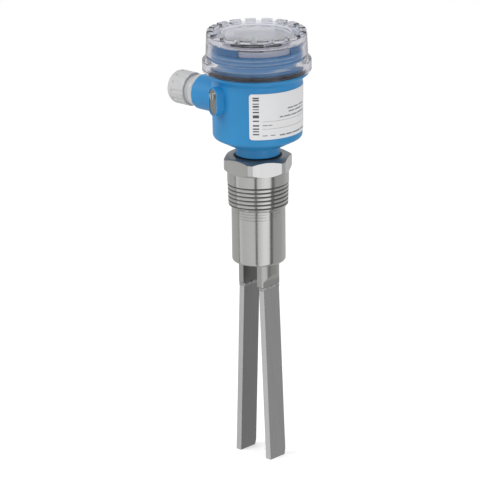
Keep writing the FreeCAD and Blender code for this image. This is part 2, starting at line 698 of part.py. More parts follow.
def gland_body():
    """Screwed stem, hexagon flange, thread for the nut, and the slit fingers that grip the cable seal."""
    bore = GLAND_BORE_DIAMETER / 2
    stem = BOSS_BORE_DIAMETER / 2 - GLAND_STEM_CLEARANCE
    stem_end = BOSS_REACH - GLAND_STEM_LENGTH
    flange = GLAND_TURNED_DIAMETER / 2
    thread = GLAND_THREAD_DIAMETER / 2
    finger = GLAND_FINGER_DIAMETER / 2
    body = turned([
        (bore, stem_end),
        (stem, stem_end, FINE_ROUND),
        (stem, GLAND_FACE),
        (flange, GLAND_FACE, FINE_ROUND),
        (flange, GLAND_THREAD_START, FINE_ROUND),
        (thread, GLAND_THREAD_START),
        (thread, GLAND_FINGER_START),
        (finger, GLAND_FINGER_START),
        (finger, GLAND_FINGER_END, SOFT_ROUND),
        (bore, GLAND_FINGER_END),
    ])
    ring = rod(2 * GLAND_FLATS, GLAND_FLANGE_THICKNESS, 0, 0, GLAND_FACE)
    waste = ring.cut(hexagon(GLAND_FLATS, GLAND_FLANGE_THICKNESS, GLAND_FACE))
    slot = block(finger, 0, GLAND_FINGER_START, finger, GLAND_FINGER_SLOT, GLAND_FINGER_LENGTH)
    return on_gland_axis(body.cut([waste] + around(slot, GLAND_FINGER_COUNT)))


def gland_seal():
    """Rubber sleeve that the fingers squeeze round the cable."""
    diameter = GLAND_BORE_DIAMETER - 2 * LOOSE
    start = GLAND_FINGER_END + LOOSE - GLAND_SEAL_LENGTH
    return on_gland_axis(washer(diameter, CABLE_HOLE_DIAMETER, GLAND_SEAL_LENGTH, start))


def gland_nut():
    """Domed nut with grip flutes, bored to clear the thread and the fingers."""
    radius = GLAND_NUT_DIAMETER / 2
    mouth = GLAND_NUT_MOUTH_DIAMETER / 2
    bore = GLAND_THREAD_DIAMETER / 2 + LOOSE
    finger = GLAND_FINGER_DIAMETER / 2 + LOOSE
    cone_start = GLAND_FINGER_START + LOOSE
    finger_room = GLAND_NUT_END - GLAND_NUT_WALL
    body = turned([
        (bore, GLAND_NUT_START),
        (radius, GLAND_NUT_START, FINE_ROUND),
        (radius, GLAND_NUT_END, GLAND_NUT_DOME_ROUND),
        (mouth, GLAND_NUT_END),
        (mouth, finger_room),
        (finger, finger_room),
        (finger, cone_start + bore - finger),
        (bore, cone_start),
    ])
    flute_length = GLAND_NUT_LENGTH - GLAND_NUT_DOME
    centre = radius + GLAND_NUT_FLUTE_DIAMETER / 2 - GLAND_NUT_FLUTE_DEPTH
    flute = rod(GLAND_NUT_FLUTE_DIAMETER, flute_length, centre, 0, GLAND_NUT_START)
    return on_gland_axis(body.cut(around(flute, GLAND_NUT_FLUTES)))


def lugs(outer):
    """The grip lugs that stand round the top of the cover."""
    sweep = 360.0 / LUG_COUNT * LUG_SHARE
    lug = turned([
        (outer - LUG_LENGTH, COVER_TOP - LUG_ROOT),
        (outer, COVER_TOP - LUG_ROOT),
        (outer, COVER_TOP + LUG_HEIGHT, LUG_ROUND),
        (outer - LUG_LENGTH, COVER_TOP + LUG_HEIGHT, LUG_ROUND),
    ], sweep)
    return around(turn(lug, -sweep / 2), LUG_COUNT)


def cover():
    """Clear cap: skirt with a groove for its seal, drafted wall, thick roof and a thinner round window."""
    skirt_top = COVER_BOTTOM + COVER_SKIRT_HEIGHT
    draft = (COVER_TOP - skirt_top) * math.tan(math.radians(COVER_DRAFT_DEG))
    window = WINDOW_DIAMETER / 2
    window_top = COVER_TOP - WINDOW_RECESS
    window_bottom = window_top - WINDOW_THICKNESS
    roof = COVER_TOP - COVER_ROOF_THICKNESS
    groove = COVER_SEAL_OUTER + COVER_SEAL_CLEARANCE
    groove_top = COVER_BOTTOM + COVER_SEAL_HEIGHT + 2 * COVER_SEAL_CLEARANCE
    shell = turned([
        (groove, COVER_BOTTOM),
        (COVER_SKIRT_RADIUS, COVER_BOTTOM, FINE_ROUND),
        (COVER_SKIRT_RADIUS, skirt_top, SOFT_ROUND),
        (COVER_RADIUS, skirt_top + COVER_SHOULDER, FINE_ROUND),
        (COVER_RADIUS - draft, COVER_TOP, SOFT_ROUND),
        (window + WINDOW_RECESS, COVER_TOP),
        (window, window_top),
        (0, window_top),
        (0, window_bottom),
        (window, window_bottom),
        (window, roof),
        (COVER_BORE_RADIUS, roof, SOFT_ROUND),
        (COVER_BORE_RADIUS, groove_top),
        (groove, groove_top),
    ])
    return shell.fuse(lugs(COVER_RADIUS - draft - LUG_INSET)).removeSplitter()


def cover_seal():
    """Rubber ring in the cover's groove, round the foot of the collar."""
    bottom = COVER_BOTTOM + COVER_SEAL_CLEARANCE
    top = bottom + COVER_SEAL_HEIGHT
    return turned([
        (COVER_SEAL_INNER, bottom, COVER_SEAL_ROUND),
        (COVER_SEAL_OUTER, bottom, COVER_SEAL_ROUND),
        (COVER_SEAL_OUTER, top, COVER_SEAL_ROUND),
        (COVER_SEAL_INNER, top, COVER_SEAL_ROUND),
    ])


def screw_pair(piece):
    """A piece at each of the insert's two screws."""
    return [turn(piece, angle) for angle in (0, 180)]


def insert_body():
    """Potted electronics: a stem, a deck that carries the terminals, and a rim round the deck."""
    stem = STEM_DIAMETER / 2
    rim = DECK_RADIUS - RIM_WALL
    rim_top = DECK_TOP + RIM_HEIGHT
    body = turned([
        (0, STEM_BOTTOM),
        (stem, STEM_BOTTOM, SOFT_ROUND),
        (stem, DECK_BOTTOM),
        (DECK_RADIUS, DECK_BOTTOM),
        (DECK_RADIUS, rim_top, FINE_ROUND),
        (rim, rim_top),
        (rim, DECK_TOP),
        (0, DECK_TOP),
    ])
    socket = rod(PLUG_POST_DIAMETER + 2 * LOOSE, PLUG_POST_LENGTH + PLUG_SOCKET_PLAY, 0, 0, SPIGOT_TOP)
    slot_height = rim_top - DECK_BOTTOM
    wire_slot = block(-DECK_RADIUS, 0, DECK_BOTTOM, 2 * WIRE_SLOT_DEPTH, WIRE_SLOT_WIDTH, slot_height)
    hole = rod(INSERT_SCREW_SHANK_DIAMETER + 2 * SEAT, DECK_HEIGHT, 0, INSERT_SCREW_OFFSET, DECK_BOTTOM)
    return body.cut([socket, wire_slot] + screw_pair(hole))


def insert_screws():
    """Two long screws through the deck into the housing's posts."""
    head_height = INSERT_SCREW_HEAD_HEIGHT
    head = slotted_screw(INSERT_SCREW_HEAD_DIAMETER, head_height, 0, INSERT_SCREW_OFFSET, DECK_TOP)
    length = DECK_HEIGHT + INSERT_SCREW_GRIP
    shank = rod(INSERT_SCREW_SHANK_DIAMETER, length, 0, INSERT_SCREW_OFFSET, DECK_TOP - length)
    return Part.Compound(screw_pair(head.fuse(shank).removeSplitter()))


def terminal_places():
    """X of each terminal in the row."""
    return [(i - (TERMINAL_COUNT - 1) / 2) * TERMINAL_PITCH for i in range(TERMINAL_COUNT)]


def terminal_block():
    length = TERMINAL_COUNT * TERMINAL_PITCH
    body = block(0, TERMINAL_Y, DECK_TOP, length, TERMINAL_DEPTH, TERMINAL_HEIGHT)
    well_diameter = TERMINAL_SCREW_DIAMETER + 2 * TERMINAL_WELL_CLEARANCE
    well_floor = DECK_TOP + TERMINAL_HEIGHT - TERMINAL_WELL_DEPTH
    waste = []
    for x in terminal_places():
        entry = Vector(x, TERMINAL_Y - TERMINAL_DEPTH / 2, DECK_TOP + TERMINAL_WIRE_HOLE_RISE)
        radius = TERMINAL_WIRE_HOLE_DIAMETER / 2
        waste.append(Part.makeCylinder(radius, TERMINAL_WIRE_HOLE_DEPTH, entry, Vector(0, 1, 0)))
        waste.append(rod(well_diameter, TERMINAL_WELL_DEPTH, x, TERMINAL_Y, well_floor))
    return body.cut(waste)


def terminal_screws():
    z = DECK_TOP + TERMINAL_HEIGHT - TERMINAL_WELL_DEPTH
    return Part.Compound([
        slotted_screw(TERMINAL_SCREW_DIAMETER, TERMINAL_SCREW_HEIGHT, x, TERMINAL_Y, z)
        for x in terminal_places()])


def led(number):
    """Round-topped signal lamp on the deck."""
    radius = LED_DIAMETER / 2
    lens = turned([
        (0, DECK_TOP),
        (radius, DECK_TOP),
        (radius, DECK_TOP + LED_HEIGHT, radius - SEAT),
        (0, DECK_TOP + LED_HEIGHT),
    ])
    lens.translate(Vector(LED_X + number * LED_PITCH, LED_Y, 0))
    return lens


def slider_x(number):
    return SWITCH_X + (number - 0.5) * SLIDER_PITCH


def switch_block():
    """Housing of the two slide switches on the deck."""
    depth = SLIDER_SLOT_DEPTH
    slot_floor = DECK_TOP + SWITCH_HEIGHT - depth
    slots = [block(slider_x(i), SWITCH_Y, slot_floor, SLIDER_SLOT_WIDTH, SLIDER_SLOT_LENGTH, depth)
             for i in range(2)]
    return block(SWITCH_X, SWITCH_Y, DECK_TOP, SWITCH_LENGTH, SWITCH_WIDTH, SWITCH_HEIGHT).cut(slots)


def switch_slider(number):
    """Slider at the -Y end of its slot, free to travel to the +Y end."""
    z = DECK_TOP + SWITCH_HEIGHT - SLIDER_SLOT_DEPTH + SLIDER_CLEARANCE
    y = SWITCH_Y - SLIDER_SLOT_LENGTH / 2 + SLIDER_CLEARANCE + SLIDER_LENGTH / 2
    width = SLIDER_SLOT_WIDTH - 2 * SLIDER_CLEARANCE
    height = SLIDER_SLOT_DEPTH - SLIDER_CLEARANCE + SLIDER_RISE
    return block(slider_x(number), y, z, width, SLIDER_LENGTH, height)


def inner_ground_clamp():
    """Square clamp with a slotted screw, on the deck beside the terminals."""
    clamp = block(INNER_CLAMP_X, 0, DECK_TOP, INNER_CLAMP_LENGTH, INNER_CLAMP_WIDTH, INNER_CLAMP_HEIGHT)
    clamp_top = DECK_TOP + INNER_CLAMP_HEIGHT
    head = slotted_screw(INNER_SCREW_DIAMETER, INNER_SCREW_HEIGHT, INNER_CLAMP_X, 0, clamp_top)
    return clamp.fuse(head).removeSplitter()


def build():
    """Every piece of the switch, by the name of its file."""
    front = tine()
    pieces = {
        "process_connection": process_connection(),
        "neck_seal": neck_seal(),
        "swivel_nut": swivel_nut(),
        "fork_base": fork_base(),
        "tine_front": front,
        "tine_rear": mirrored(front),
        "feedthrough": feedthrough(),
        "feedthrough_pins": feedthrough_pins(),
        "sensor_leads": sensor_leads(),
        "sensor_plug": sensor_plug(),
        "housing": housing(),
        "nameplate": nameplate(),
        "ground_plate": ground_plate(),
        "ground_screw": ground_screw(),
        "gland_gasket": gland_gasket(),
        "gland_body": gland_body(),
        "gland_seal": gland_seal(),
        "gland_nut": gland_nut(),
        "cover": cover(),
        "cover_seal": cover_seal(),
        "insert_body": insert_body(),
        "insert_screws": insert_screws(),
        "terminal_block": terminal_block(),
        "terminal_screws": terminal_screws(),
        "led_green": led(0),
        "led_yellow": led(1),
        "led_red": led(2),
        "switch_block": switch_block(),
        "failsafe_slider": switch_slider(0),
        "density_slider": switch_slider(1),
        "inner_ground_clamp": inner_ground_clamp(),
    }
    pieces.update(drive())
    return pieces


os.makedirs("parts", exist_ok=True)
for name, shape in build().items():
    shape.exportStep("parts/" + name + ".step")
    print(name, shape.isValid(), len(shape.Solids), round(shape.Volume / 1000, 2), "cm3")
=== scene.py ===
import math

import bmesh
import bpy
from mathutils import Matrix, Vector


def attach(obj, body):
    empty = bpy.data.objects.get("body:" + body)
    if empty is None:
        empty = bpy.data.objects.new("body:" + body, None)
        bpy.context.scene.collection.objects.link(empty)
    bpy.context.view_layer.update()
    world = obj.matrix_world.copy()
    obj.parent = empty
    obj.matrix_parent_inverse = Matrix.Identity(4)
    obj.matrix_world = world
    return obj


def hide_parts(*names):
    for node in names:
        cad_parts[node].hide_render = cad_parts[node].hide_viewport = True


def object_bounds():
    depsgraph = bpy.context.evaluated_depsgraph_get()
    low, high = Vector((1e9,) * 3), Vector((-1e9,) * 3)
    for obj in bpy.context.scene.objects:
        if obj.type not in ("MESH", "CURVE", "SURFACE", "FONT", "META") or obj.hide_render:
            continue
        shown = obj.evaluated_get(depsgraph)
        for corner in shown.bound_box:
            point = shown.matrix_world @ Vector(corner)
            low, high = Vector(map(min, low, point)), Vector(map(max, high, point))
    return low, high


# Looks of the tuning fork level switch, in millimetres and degrees unless a comment says otherwise
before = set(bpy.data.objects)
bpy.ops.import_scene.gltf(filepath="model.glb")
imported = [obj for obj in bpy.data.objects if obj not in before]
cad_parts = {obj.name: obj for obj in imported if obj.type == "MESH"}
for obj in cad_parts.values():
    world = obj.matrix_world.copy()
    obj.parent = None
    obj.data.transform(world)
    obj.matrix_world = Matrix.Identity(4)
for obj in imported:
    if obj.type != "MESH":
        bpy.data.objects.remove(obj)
cad_low, cad_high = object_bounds()
MM = 0.001

# Camera, as in the photograph, with clip distances in metres
VIEW_AZIMUTH = 43.4
VIEW_ELEVATION = 18.0
VIEW_DISTANCE = 2400.0
VIEW_LEVEL = -58.7
VIEW_SHIFT = 15.0
VIEW_ROLL = -0.74
LENS = 225.4
SENSOR = 36.0
CLIP_NEAR = 0.1
CLIP_FAR = 60.0

# Brightness that gloss sees, by compass direction from +X, and the even brightness that lights the rest
GLOSS_BANDS = (
    (-179, 0.6), (-146, 0.62), (-142, 0.3), (-140, 0.3), (-136, 0.95), (-130, 0.9),
    (-122, 0.76), (-62, 0.84), (-58, 0.12), (-54, 0.12), (-50, 0.88), (-20, 1.2),
    (-1, 1.16), (5, 0.16), (14, 0.16), (19, 0.52), (66, 0.56), (74, 0.64),
    (129, 0.6), (132, 1.2), (135, 1.2), (138, 0.62), (143, 0.6),
)
FILL = 0.62

# Floor: half its side and its drop below the tips in metres, its tone, and its glow where it is seen
FLOOR_HALF = 30.0
FLOOR_DROP = 0.0002
FLOOR_TONE = 0.86
FLOOR_GLOW = 0.41

# Process connection, as the solid has it
SPIGOT = 13.0
SPIGOT_BORE = 9.0
SPIGOT_TOP = 34.0
SPIGOT_EDGE = 0.6
RECESS = 19.2
RECESS_FLOOR = 8.5
RECESS_EDGE = 0.3
HEX_SIDE = 60.0
HEX_CHAMFER = 30.0
HEX_TOP = 12.5
HEX_HALF = 25.0
HEX_TURNED = 27.7
HEX_TOP_FACE = 24.2
HEX_LOWER = 2.2
SHANK = 24.6
TUBE = 21.5
TUBE_BORE = 17.5
TUBE_ROOF = -4.0
TUBE_END = -75.0
TUBE_EDGE = 2.4

# Pipe thread between shank and tube, its taper given as height over change of radius. Each turn has a V as
# wide as PIPE_GROOVE, with its bottom at the height PIPE_START at angle 0. A foot leads down to the tube.
THREAD_TOP = -9.0
THREAD_LOW = -27.4
THREAD_DEPTH = 0.9
THREAD_STEP = 0.2
THREAD_TAPER = 32.0
THREAD_GAP = 0.1
PIPE_PITCH = 3.3
PIPE_GROOVE = 1.5
PIPE_START = 0.53
FOOT_STEP = 2.3
FOOT_DROP = 2.4

# Fine tool grooves round the top of the tube
RING_LEVELS = (-31.6, -33.8, -36.2)
RING_HALF = 0.5
RING_FLOOR_HALF = 0.25
RING_DEPTH = 0.3

# Limits that pick the connection's faces for another finish or for painted shade: a height, and components
# of their normals
HEX_FOOT = 0.05
FACING = 0.9
FLANK_TILT = 0.35
TOP_TILT = 0.5

# Collar thread and gland thread: root radius, height, hidden inner radius, span and pitch. Then the radius
# past which the collar's faces are a crest with a painted highlight, and the height of the gland's axis.
COLLAR_THREAD = (35.25, 0.95, 34.9, 85.6, 99.0, 3.0)
COLLAR_CREST = 36.1
GLAND_THREAD = (11.4, 0.5, 11.0, 64.4, 70.0, 1.5)
GLAND_LEVEL = 53.5

# Weld round each tine's root, and the waves of its bead, whose rates are radians a step
WELD_LEVEL = -96.1
WELD_RADIUS = 0.88
WELD_STRETCH = 1.9
WELD_CENTRE = 10.55
WELD_HALF_X = 2.3
WELD_HALF_Y = 8.85
WELD_CORNER = 0.8
WELD_STEP = 0.5
WELD_SIDES = 8
WELD_RIPPLE = 0.16
WELD_RIPPLE_RATE = 1.7
WELD_DRIFT = 0.12
WELD_DRIFT_RATE = 0.61

# Nameplate, which leans with the housing's draft, and its print, whose angles and heights are measured from
# the plate's lower left corner
PLATE_START = -57.3
PLATE_LOW = 34.3
PLATE_OUTSIDE = 36.0
DRAFT = 0.5
DRAFT_START = 28.6
PRINT_SUNK = 0.05
PRINT_RISE = 0.03
PRINT_STEP = 2.0
BAR_LEFT = 4.6
BAR_RIGHT = 12.2
BARS = (
    (33.2, 34.4), (31.4, 32.6), (28.8, 29.6), (26.4, 27.8), (24.4, 25.1), (21.9, 23.0),
    (17.8, 20.2), (14.9, 15.9), (11.1, 12.3), (8.5, 9.6), (6.5, 7.4), (4.1, 5.1),
)
RULE_LEFT = 16.3
RULE_RIGHT = 136.0
RULE_WIDTH = 0.22
RULE_LEVELS = (14.6, 8.6)
BLOCK_ROWS = (
    (23.0, 24.0, ((51.0, 60.5), (62.0, 71.0), (73.0, 86.0))),
    (20.3, 21.3, ((52.5, 63.0), (64.5, 78.0), (80.0, 84.0))),
    (17.0, 18.0, ((39.0, 44.0), (45.5, 56.0), (57.5, 68.0), (69.5, 88.0))),
    (11.3, 12.0, ((16.8, 23.0), (24.0, 29.0))),
    (3.0, 3.7, ((16.6, 22.8), (26.7, 33.0))),
    (2.3, 3.4, ((39.0, 47.0), (48.5, 58.0), (59.5, 76.0), (78.0, 90.0))),
)

# Meshes: points closer than MERGE are one. Then steps of a full turn and of a rounding, angles past which an
# edge is sharp, and how much sooner than in a V a thread's flank reaches its crest.
MERGE = 0.002
CONNECTION_STEPS = 180
THREAD_STEPS = 144
ARC_STEPS = 6
SHARP = 20.0
WELD_SHARP = 60.0
RIDGE_SHARPNESS = 1.2

# Scales of a steel's noise along X, Y and Z. Unequal ones draw it out into a tool's marks.
TURNED = (0.05, 0.05, 24.0)
MILLED = (8.0, 8.0, 0.3)
DRAWN = (9.0, 9.0, 0.25)
BLASTED = (6.0, 6.0, 6.0)
PRESSED = (8.0, 8.0, 8.0)
WELDED = (9.0, 9.0, 9.0)

# Most of a noise's values lie between these
NOISE_LOW = 0.3
NOISE_HIGH = 0.7


def srgb(r, g, b):
    """Linear colour from 8-bit display values."""
    return tuple(((c / 255 + 0.055) / 1.055) ** 2.4 if c > 10 else c / 255 / 12.92 for c in (r, g, b))


def grey(level):
    """Neutral linear colour from one 8-bit display value."""
    return srgb(level, level, level)


def toned(colour, factor):
    """A colour made darker or lighter."""
    return tuple(min(1.0, c * factor) for c in colour)


class Nodes:
    """A node tree, with short calls that make its nodes and link them."""

    def __init__(self, tree):
        self.tree = tree

    def put(self, socket, value):
        """Link an output to a socket, or give the socket a value."""
        if isinstance(value, bpy.types.NodeSocket):
            self.tree.links.new(value, socket)
        elif socket.type == "RGBA":
            socket.default_value = (*value, 1)
        else:
            socket.default_value = value

    def node(self, kind, **settings):
        """A node, with values or outputs for its inputs, or values for its own settings."""
        made = self.tree.nodes.new(kind)
        for key, value in settings.items():
            if key in made.inputs:
                self.put(made.inputs[key], value)
            else:
                setattr(made, key, value)
        return made

    def joint(self, kind, values, **settings):
        """The output of a node whose inputs share names and are filled in order."""
        made = self.node(kind, **settings)
        for socket, value in zip(made.inputs, values):
            self.put(socket, value)
        return made.outputs[0]

    def calc(self, operation, a, b):
        """One sum on two values."""
        return self.joint("ShaderNodeMath", (a, b), operation=operation)

    def remap(self, value, low, high, to_low, to_high):
        """A value whose range becomes another."""
        spans = {"From Min": low, "From Max": high, "To Min": to_low, "To Max": to_high}
        return self.node("ShaderNodeMapRange", Value=value, **spans).outputs["Result"]

    def over(self, noise, low, high):
        """A noise spread over a range."""
        return self.remap(noise, NOISE_LOW, NOISE_HIGH, low, high)

    def mix(self, factor, a, b, blend="MIX"):
        """Two colours mixed by a factor, whose sockets are told apart by number only."""
        made = self.node("ShaderNodeMix", data_type="RGBA", blend_type=blend)
        for i, value in ((0, factor), (6, a), (7, b)):
            self.put(made.inputs[i], value)
        return made.outputs[2]

    def is_seen(self):
        """1 for camera rays and for rays that pass through the clear cover, else 0."""
        rays = self.node("ShaderNodeLightPath").outputs
        return self.calc("MAXIMUM", rays["Is Camera Ray"], rays["Is Transmission Ray"])


class Finish(Nodes):
    """A material round the principled shader, laid out in object coordinates."""

    def __init__(self, name):
        self.material = bpy.data.materials.new(name)
        self.material.use_nodes = True
        super().__init__(self.material.node_tree)
        self.shader = self.tree.nodes["Principled BSDF"]
        self.place = self.node("ShaderNodeTexCoord").outputs["Object"]

    def noise(self, scale, detail=3.0, stretch=None, roughness=0.5):
        """Noise in object coordinates, which may be scaled along each axis."""
        place = self.place
        if stretch:
            place = self.node("ShaderNodeMapping", Vector=place, Scale=stretch).outputs["Vector"]
        made = self.node("ShaderNodeTexNoise", Vector=place, Scale=scale, Detail=detail, Roughness=roughness)
        return made.outputs["Fac"]

    def set(self, **values):
        """Values of the shader's sockets, by name with _ for a space."""
        for key, value in values.items():
            self.put(self.shader.inputs[key.replace("_", " ")], value)

    def bump(self, height, strength, depth):
        """Fine relief, its depth in millimetres."""
        made = self.node("ShaderNodeBump", Height=height, Strength=strength, Distance=depth * MM)
        self.set(Normal=made.outputs["Normal"])


def plastic(name, colour, roughness, grain=900.0, depth=0.03, spread=0.06):
    """Moulded plastic: slow changes of tone, and a fine grain in its gloss and relief."""
    g = Finish(name)
    slow = g.remap(g.noise(28.0, detail=2.0), 0.35, 0.65, 0, 1)
    fine = g.noise(grain)
    g.set(Base_Color=g.mix(slow, toned(colour, 1 - spread), toned(colour, 1 + spread)))
    g.set(Roughness=g.over(fine, roughness - 0.05, roughness + 0.05), Specular_IOR_Level=0.45)
    g.bump(fine, strength=0.25, depth=depth)
    return g.material


def steel(name, tone, roughness, stretch, contrast=0.1, wide=None):
    """Machined steel: fine marks drawn out along the tool's way, and a faintly cloudy gloss.

    wide, where given, paints shade on the faces that look along +X: its factor for those behind and before
    the axis.
    """
    g = Finish(name)
    marks = g.noise(60.0, detail=5.0, stretch=stretch, roughness=0.65)
    clouds = g.noise(45.0, detail=2.0)
    colour = g.mix(g.over(marks, 0, 1), toned(tone, 1 - contrast), tone)
    # Painted shade: faces that look along +X are darkened by the factors in wide.
    if wide:
        normal = g.node("ShaderNodeTexCoord").outputs["Normal"]
        facing = g.remap(g.node("ShaderNodeSeparateXYZ", Vector=normal).outputs["X"], 0.6, 0.85, 0, 1)
        factor = g.remap(g.node("ShaderNodeSeparateXYZ", Vector=g.place).outputs["X"], -MM, MM, *wide)
        shade = g.calc("ADD", 1.0, g.calc("MULTIPLY", facing, g.calc("SUBTRACT", factor, 1.0)))
        even_shade = g.node("ShaderNodeCombineColor", Red=shade, Green=shade, Blue=shade).outputs[0]
        colour = g.mix(1.0, colour, even_shade, "MULTIPLY")
    rough = g.calc("ADD", g.over(marks, roughness - 0.05, roughness + 0.04), g.over(clouds, -0.03, 0.03))
    g.set(Base_Color=colour, Metallic=1.0, Roughness=rough)
    g.bump(marks, strength=0.3, depth=0.012)
    return g.material


def rubber(name, colour):
    """Matt rubber with a fine grain."""
    g = Finish(name)
    fine = g.noise(1400.0, detail=2.0)
    g.set(Base_Color=g.mix(g.noise(80.0), colour, toned(colour, 1.6)))
    g.set(Roughness=g.over(fine, 0.5, 0.66), Specular_IOR_Level=0.4)
    g.bump(fine, strength=0.3, depth=0.03)
    return g.material


def clear_plastic(name, colour, roughness):
    """Transparent moulded plastic with faint flow waves."""
    g = Finish(name)
    waves = g.noise(60.0, detail=2.0, stretch=(1.0, 1.0, 0.4))
    g.set(Base_Color=g.mix(waves, colour, toned(colour, 1.02)))
    g.set(Roughness=g.over(waves, roughness * 0.8, roughness * 1.2), Transmission_Weight=0.97, IOR=1.3)
    g.bump(waves, strength=0.12, depth=0.08)
    return g.material


FINISHES = {}


def add_finish(kind, name, *values, **more):
    """Make a finish of a kind, under a name."""
    FINISHES[name] = kind(name, *values, **more)


add_finish(steel, "turned_steel", srgb(196, 196, 194), 0.17, TURNED)
add_finish(steel, "milled_steel", grey(206), 0.2, MILLED, contrast=0.06)
# Painted shade: a darker copy of milled_steel for the hexagon's flat that faces -Y.
add_finish(steel, "shaded_steel", srgb(176, 176, 174), 0.2, MILLED, contrast=0.06)
# Cut thread flanks: rougher steel, darker as painted shade in the thread's grooves.
add_finish(steel, "groove_steel", grey(138), 0.5, TURNED)
# Hexagon's upper faces: a rougher faced finish, darker as painted shade under the housing.
add_finish(steel, "faced_steel", srgb(158, 157, 155), 0.44, BLASTED)
# Painted shade, through wide, on the rear stub's inner face in the slot.
add_finish(steel, "root_steel", srgb(172, 172, 170), 0.26, DRAWN, contrast=0.08, wide=(0.43, 1.0))
add_finish(steel, "weld_steel", grey(192), 0.36, WELDED, contrast=0.35)
add_finish(steel, "plate_steel", srgb(158, 160, 157), 0.3, BLASTED)
# Painted shade, through wide, on the rear tine's inner face and the front tine's outer face. rear_steel is
# also a slightly darker copy of front_steel, as painted shade on the tine behind.
add_finish(steel, "rear_steel", grey(200), 0.26, DRAWN, contrast=0.08, wide=(0.5, 1.0))
add_finish(steel, "front_steel", grey(208), 0.26, DRAWN, contrast=0.08, wide=(1.0, 0.71))
add_finish(steel, "small_steel", srgb(205, 205, 203), 0.26, BLASTED)
add_finish(steel, "contact_brass", srgb(214, 176, 96), 0.3, PRESSED)
add_finish(plastic, "blue_plastic", srgb(42, 139, 198), 0.36)
# Painted light: a lighter copy of the housing's blue, so the collar reads bright through the cover.
add_finish(plastic, "collar_blue", srgb(112, 186, 236), 0.3)
# Painted highlight on the collar thread's crests.
add_finish(plastic, "crest_blue", srgb(214, 234, 246), 0.3)
add_finish(plastic, "grey_plastic", grey(200), 0.42)
add_finish(plastic, "white_film", srgb(234, 234, 235), 0.4, grain=1800.0, depth=0.008, spread=0.01)
add_finish(plastic, "dark_ink", srgb(82, 84, 92), 0.45, grain=1800.0, depth=0.004)
add_finish(plastic, "grey_ink", srgb(128, 130, 136), 0.45, grain=1800.0, depth=0.004)
add_finish(plastic, "pale_plastic", srgb(236, 239, 243), 0.42)
add_finish(plastic, "black_plastic", srgb(42, 43, 46), 0.42)
add_finish(plastic, "white_plastic", srgb(232, 232, 228), 0.4)
add_finish(plastic, "ceramic", srgb(190, 182, 160), 0.6, grain=1500.0)
add_finish(plastic, "seal_glass", srgb(150, 168, 160), 0.12)
add_finish(plastic, "red_lead", srgb(160, 34, 30), 0.45)
add_finish(plastic, "green_lamp", srgb(70, 190, 90), 0.12)
add_finish(plastic, "yellow_lamp", srgb(235, 200, 60), 0.12)
add_finish(plastic, "red_lamp", srgb(215, 50, 45), 0.12)
add_finish(rubber, "black_rubber", srgb(16, 18, 22))
add_finish(clear_plastic, "clear_plastic", (0.63, 0.63, 0.68), 0.11)

# The nodes of each finish. Every other node is of small_steel.
FINISHED_NODES = {
    "turned_steel": "process_connection",
    "root_steel": "fork_base",
    "front_steel": "tine_front",
    "rear_steel": "tine_rear",
    "plate_steel": "ground_plate",
    "contact_brass": "electrode_plates feedthrough_pins",
    "blue_plastic": "housing",
    "grey_plastic": "gland_body gland_nut",
    "white_film": "nameplate",
    "pale_plastic": "insert_body",
    "black_plastic": "terminal_block switch_block sensor_plug",
    "white_plastic": "failsafe_slider density_slider",
    "ceramic": "piezo_rings",
    "seal_glass": "feedthrough",
    "red_lead": "sensor_leads",
    "green_lamp": "led_green",
    "yellow_lamp": "led_yellow",
    "red_lamp": "led_red",
    "black_rubber": "neck_seal cover_seal gland_gasket gland_seal",
    "clear_plastic": "cover",
}


def paint(obj, finish_name):
    """Give the whole of a piece one finish."""
    obj.data.materials.clear()
    obj.data.materials.append(FINISHES[finish_name])


def repaint(obj, finish_name, chosen):
    """Give another finish to the faces that a rule chooses."""
    obj.data.materials.append(FINISHES[finish_name])
    last = len(obj.data.materials) - 1
    for face in obj.data.polygons:
        if chosen(face):
            face.material_index = last


def radius_of(face):
    """Distance of a face's middle from the axis."""
    return face.center.to_2d().length / MM


def level_of(face):
    """Height of a face's middle."""
    return face.center.z / MM


def placed(name, data):
    """A new object in the scene."""
    obj = bpy.data.objects.new(name, data)
    bpy.context.scene.collection.objects.link(obj)
    return obj


def piece(name, geometry, finish_name, body, sharp=SHARP):
    """A shown piece of the switch, from points in millimetres, riding on a body."""
    points, faces = geometry
    mesh = bpy.data.meshes.new(name)
    mesh.from_pydata([Vector(p) * MM for p in points], [], faces)
    work = bmesh.new()
    work.from_mesh(mesh)
    bmesh.ops.remove_doubles(work, verts=work.verts, dist=MERGE * MM)
    bmesh.ops.dissolve_degenerate(work, edges=work.edges, dist=MERGE * MM)
    bmesh.ops.recalc_face_normals(work, faces=work.faces)
    work.to_mesh(mesh)
    work.free()
    mesh.shade_smooth()
    mesh.set_sharp_from_angle(angle=math.radians(sharp))
    obj = placed(name, mesh)
    paint(obj, finish_name)
    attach(obj, body)
    return obj


def rounded(points):
    """Points of a section, with an arc where a point is (radius, height, rounding)."""
    out = []
    for i, point in enumerate(points):
        if len(point) == 2:
            out.append(point)
            continue
        at, bend = Vector(point[:2]), point[2]
        before = (Vector(points[i - 1][:2]) - at).normalized()
        after = (Vector(points[(i + 1) % len(points)][:2]) - at).normalized()
        half = before.angle(after) / 2
        centre = at + (before + after).normalized() * (bend / math.sin(half))
        start = at + before * (bend / math.tan(half)) - centre
        end = at + after * (bend / math.tan(half)) - centre
        first = math.atan2(start.y, start.x)
        sweep = (math.atan2(end.y, end.x) - first + math.pi) % (2 * math.pi) - math.pi
        for k in range(ARC_STEPS + 1):
            a = first + sweep * k / ARC_STEPS
            out.append((centre.x + bend * math.cos(a), centre.y + bend * math.sin(a)))
    return out


